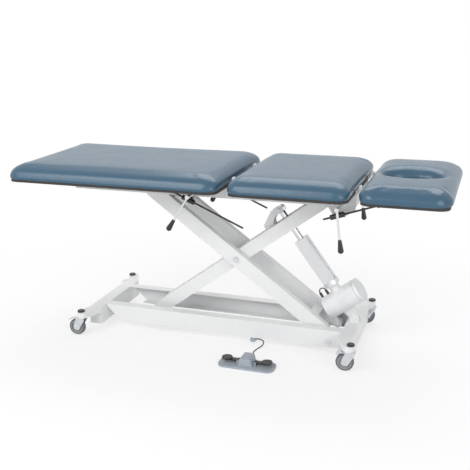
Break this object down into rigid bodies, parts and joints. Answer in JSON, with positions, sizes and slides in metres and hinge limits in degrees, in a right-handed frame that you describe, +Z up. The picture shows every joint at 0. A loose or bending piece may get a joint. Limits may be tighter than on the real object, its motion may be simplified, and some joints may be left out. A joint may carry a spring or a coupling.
{
  "type": "hi-lo treatment table",
  "caption": "Padded hi-lo treatment table: hinged head and long sections on an electric scissor lift, with braked casters and a foot switch.",
  "frame": {"origin": "on the floor, middle of the ground that the table and its foot switch cover", "axes": "+X towards the head end along the table, +Z up"},
  "size_m": [1.93, 0.744, 0.7966],
  "materials": {
    "blue_vinyl": "soft sheen vinyl",
    "plywood": "dark stained underside",
    "white_paint": "semi-gloss white",
    "zinc_steel": "zinc plated",
    "chrome": "polished chrome",
    "dark_steel": "black oxide",
    "grey_aluminium": "satin anodised",
    "pale_plastic": "moulded",
    "grey_plastic": "moulded",
    "black_plastic": "moulded",
    "wheel_grey": "moulded",
    "tread_rubber": "non-marking tread",
    "cord_pvc": "PVC sheath"
  },
  "bodies": {
    "base": {"base_rails": "white_paint", "base_cross_members": "white_paint", "caster_arms": "white_paint", "caster_caps": "black_plastic", "lower_pivot_pins": "zinc_steel", "actuator_bracket": "white_paint", "cord_socket": "grey_plastic", "switch_housing": "grey_plastic", "switch_cord": "cord_pvc"},
    "outer_frame": {"outer_arms": "white_paint", "outer_cross_tubes": "white_paint", "scissor_pins": "zinc_steel"},
    "inner_frame": {"inner_arms": "white_paint", "inner_cross_tubes": "white_paint", "lift_lug": "white_paint"},
    "lower_roller_pair": {"lower_rollers": "zinc_steel"},
    "upper_roller_pair": {"upper_rollers": "zinc_steel"},
    "top_frame": {"top_rails": "white_paint", "top_cross_members": "white_paint", "hinge_plates": "white_paint", "upper_pivot_pins": "zinc_steel", "centre_board": "plywood", "centre_pad": "blue_vinyl"},
    "foot_section": {"foot_frame": "white_paint", "foot_board": "plywood", "foot_pad": "blue_vinyl"},
    "head_section": {"head_frame": "white_paint", "head_board": "plywood", "head_pad": "blue_vinyl"},
    "actuator_body": {"actuator_tube": "grey_aluminium", "motor_housing": "pale_plastic", "motor_cap": "pale_plastic", "motor_lead": "cord_pvc"},
    "ram": {"actuator_ram": "chrome"},
    "foot_lock": {"foot_locks": "dark_steel"},
    "foot_rod": {"foot_lock_rods": "dark_steel"},
    "head_lock": {"head_locks": "dark_steel"},
    "head_rod": {"head_lock_rods": "dark_steel"},
    "foot_lever": {"foot_levers": "chrome", "foot_lever_grips": "black_plastic"},
    "head_lever": {"head_levers": "chrome", "head_lever_grips": "black_plastic"},
    "pedal_up_arm": {"pedal_up": "black_plastic"},
    "pedal_down_arm": {"pedal_down": "black_plastic"},
    "foot_left_caster": {"foot_left_fork": "zinc_steel"},
    "foot_left_rolling": {"foot_left_wheel": "wheel_grey", "foot_left_tyre": "tread_rubber"},
    "foot_left_pedal": {"foot_left_brake": "zinc_steel"},
    "foot_right_caster": {"foot_right_fork": "zinc_steel"},
    "foot_right_rolling": {"foot_right_wheel": "wheel_grey", "foot_right_tyre": "tread_rubber"},
    "foot_right_pedal": {"foot_right_brake": "zinc_steel"},
    "head_left_caster": {"head_left_fork": "zinc_steel"},
    "head_left_rolling": {"head_left_wheel": "wheel_grey", "head_left_tyre": "tread_rubber"},
    "head_left_pedal": {"head_left_brake": "zinc_steel"},
    "head_right_caster": {"head_right_fork": "zinc_steel"},
    "head_right_rolling": {"head_right_wheel": "wheel_grey", "head_right_tyre": "tread_rubber"},
    "head_right_pedal": {"head_right_brake": "zinc_steel"}
  },
  "joints": [
    {"name": "lift", "type": "hinge", "parent": "base", "child": "outer_frame", "pos_m": [0.468, 0.029, 0.0623], "axis": [0, 1, 0], "range_deg": [-18, 9]},
    {"name": "scissor_pivot", "type": "hinge", "parent": "outer_frame", "child": "inner_frame", "pos_m": [0.03642, 0.029, 0.37932], "axis": [0, 1, 0], "range_deg": [-18.5, 36.5]},
    {"name": "top_pivot", "type": "hinge", "parent": "inner_frame", "child": "top_frame", "pos_m": [0.468, 0.029, 0.69635], "axis": [0, 1, 0], "range_deg": [-18.5, 9.5]},
    {"name": "lower_roller_spin", "type": "hinge", "parent": "inner_frame", "child": "lower_roller_pair", "pos_m": [-0.39515, 0.029, 0.0623], "axis": [0, 1, 0], "continuous": true},
    {"name": "upper_roller_spin", "type": "hinge", "parent": "outer_frame", "child": "upper_roller_pair", "pos_m": [-0.39515, 0.029, 0.69635], "axis": [0, 1, 0], "continuous": true},
    {"name": "foot_tilt", "type": "hinge", "parent": "top_frame", "child": "foot_section", "pos_m": [0.049, 0.029, 0.75765], "axis": [0, 1, 0], "range_deg": [0, 60]},
    {"name": "head_tilt", "type": "hinge", "parent": "top_frame", "child": "head_section", "pos_m": [0.59, 0.029, 0.75505], "axis": [0, -1, 0], "range_deg": [-60, 35]},
    {"name": "actuator_swing", "type": "hinge", "parent": "base", "child": "actuator_body", "pos_m": [0.56, 0.029, 0.13], "axis": [0, 1, 0], "range_deg": [-16.5, 8.5]},
    {"name": "ram_slide", "type": "slide", "parent": "actuator_body", "child": "ram", "axis": [-0.5939, 0, 0.8045], "range_m": [-0.14, 0.07]},
    {"name": "foot_lock_swing", "type": "hinge", "parent": "top_frame", "child": "foot_lock", "pos_m": [-0.149, 0.029, 0.65805], "axis": [0, 1, 0], "range_deg": [-1, 64]},
    {"name": "foot_rod_slide", "type": "slide", "parent": "foot_lock", "child": "foot_rod", "axis": [-0.9176, 0, 0.3976], "range_m": [-0.002, 0.23]},
    {"name": "head_lock_swing", "type": "hinge", "parent": "top_frame", "child": "head_lock", "pos_m": [0.504, 0.029, 0.63605], "axis": [0, -1, 0], "range_deg": [-17, 10]},
    {"name": "head_rod_slide", "type": "slide", "parent": "head_lock", "child": "head_rod", "axis": [0.9487, 0, 0.3162], "range_m": [-0.1, 0.06]},
    {"name": "foot_lever_turn", "type": "hinge", "parent": "top_frame", "child": "foot_lever", "pos_m": [-0.117, 0.029, 0.69205], "axis": [0, 1, 0], "range_deg": [0, 18], "stiffness_Nm_per_rad": 4, "springref_deg": -14.32},
    {"name": "head_lever_turn", "type": "hinge", "parent": "top_frame", "child": "head_lever", "pos_m": [0.518, 0.029, 0.68305], "axis": [0, -1, 0], "range_deg": [0, 18], "stiffness_Nm_per_rad": 4, "springref_deg": -14.32},
    {"name": "pedal_up_press", "type": "hinge", "parent": "base", "child": "pedal_up_arm", "pos_m": [0.207, -0.326, 0.0215], "axis": [0, 1, 0], "range_deg": [0, 5], "stiffness_Nm_per_rad": 1.5, "springref_deg": -6.88},
    {"name": "pedal_down_press", "type": "hinge", "parent": "base", "child": "pedal_down_arm", "pos_m": [0.133, -0.326, 0.0215], "axis": [0, -1, 0], "range_deg": [0, 5], "stiffness_Nm_per_rad": 1.5, "springref_deg": -6.88},
    {"name": "foot_left_swivel", "type": "hinge", "parent": "base", "child": "foot_left_caster", "pos_m": [-0.662, 0.298, 0.088], "axis": [0, 0, 1], "continuous": true},
    {"name": "foot_left_roll", "type": "hinge", "parent": "foot_left_caster", "child": "foot_left_rolling", "pos_m": [-0.685, 0.298, 0.038], "axis": [0, 1, 0], "continuous": true},
    {"name": "foot_left_brake_press", "type": "hinge", "parent": "foot_left_caster", "child": "foot_left_pedal", "pos_m": [-0.674, 0.298, 0.0803], "axis": [0, -1, 0], "range_deg": [0, 6]},
    {"name": "foot_right_swivel", "type": "hinge", "parent": "base", "child": "foot_right_caster", "pos_m": [-0.662, -0.24, 0.088], "axis": [0, 0, 1], "continuous": true},
    {"name": "foot_right_roll", "type": "hinge", "parent": "foot_right_caster", "child": "foot_right_rolling", "pos_m": [-0.685, -0.24, 0.038], "axis": [0, 1, 0], "continuous": true},
    {"name": "foot_right_brake_press", "type": "hinge", "parent": "foot_right_caster", "child": "foot_right_pedal", "pos_m": [-0.674, -0.24, 0.0803], "axis": [0, -1, 0], "range_deg": [0, 6]},
    {"name": "head_left_swivel", "type": "hinge", "parent": "base", "child": "head_left_caster", "pos_m": [0.592, 0.298, 0.088], "axis": [0, 0, 1], "continuous": true},
    {"name": "head_left_roll", "type": "hinge", "parent": "head_left_caster", "child": "head_left_rolling", "pos_m": [0.569, 0.298, 0.038], "axis": [0, 1, 0], "continuous": true},
    {"name": "head_left_brake_press", "type": "hinge", "parent": "head_left_caster", "child": "head_left_pedal", "pos_m": [0.58, 0.298, 0.0803], "axis": [0, -1, 0], "range_deg": [0, 6]},
    {"name": "head_right_swivel", "type": "hinge", "parent": "base", "child": "head_right_caster", "pos_m": [0.592, -0.24, 0.088], "axis": [0, 0, 1], "continuous": true},
    {"name": "head_right_roll", "type": "hinge", "parent": "head_right_caster", "child": "head_right_rolling", "pos_m": [0.569, -0.24, 0.038], "axis": [0, 1, 0], "continuous": true},
    {"name": "head_right_brake_press", "type": "hinge", "parent": "head_right_caster", "child": "head_right_pedal", "pos_m": [0.58, -0.24, 0.0803], "axis": [0, -1, 0], "range_deg": [0, 6]}
  ],
  "couplings": [
    {"joint": "scissor_pivot", "follows": "lift", "ratio": -2},
    {"joint": "top_pivot", "follows": "lift", "ratio": 1},
    {"joint": "actuator_swing", "follows": "lift", "ratio": 0.88},
    {"joint": "ram_slide", "follows": "lift", "m_per_rad": 0.435},
    {"joint": "foot_lock_swing", "follows": "foot_tilt", "ratio": 1.05},
    {"joint": "foot_rod_slide", "follows": "foot_tilt", "m_per_rad": 0.214},
    {"joint": "head_lock_swing", "follows": "head_tilt", "ratio": 0.27},
    {"joint": "head_rod_slide", "follows": "head_tilt", "m_per_rad": 0.092}
  ]
}
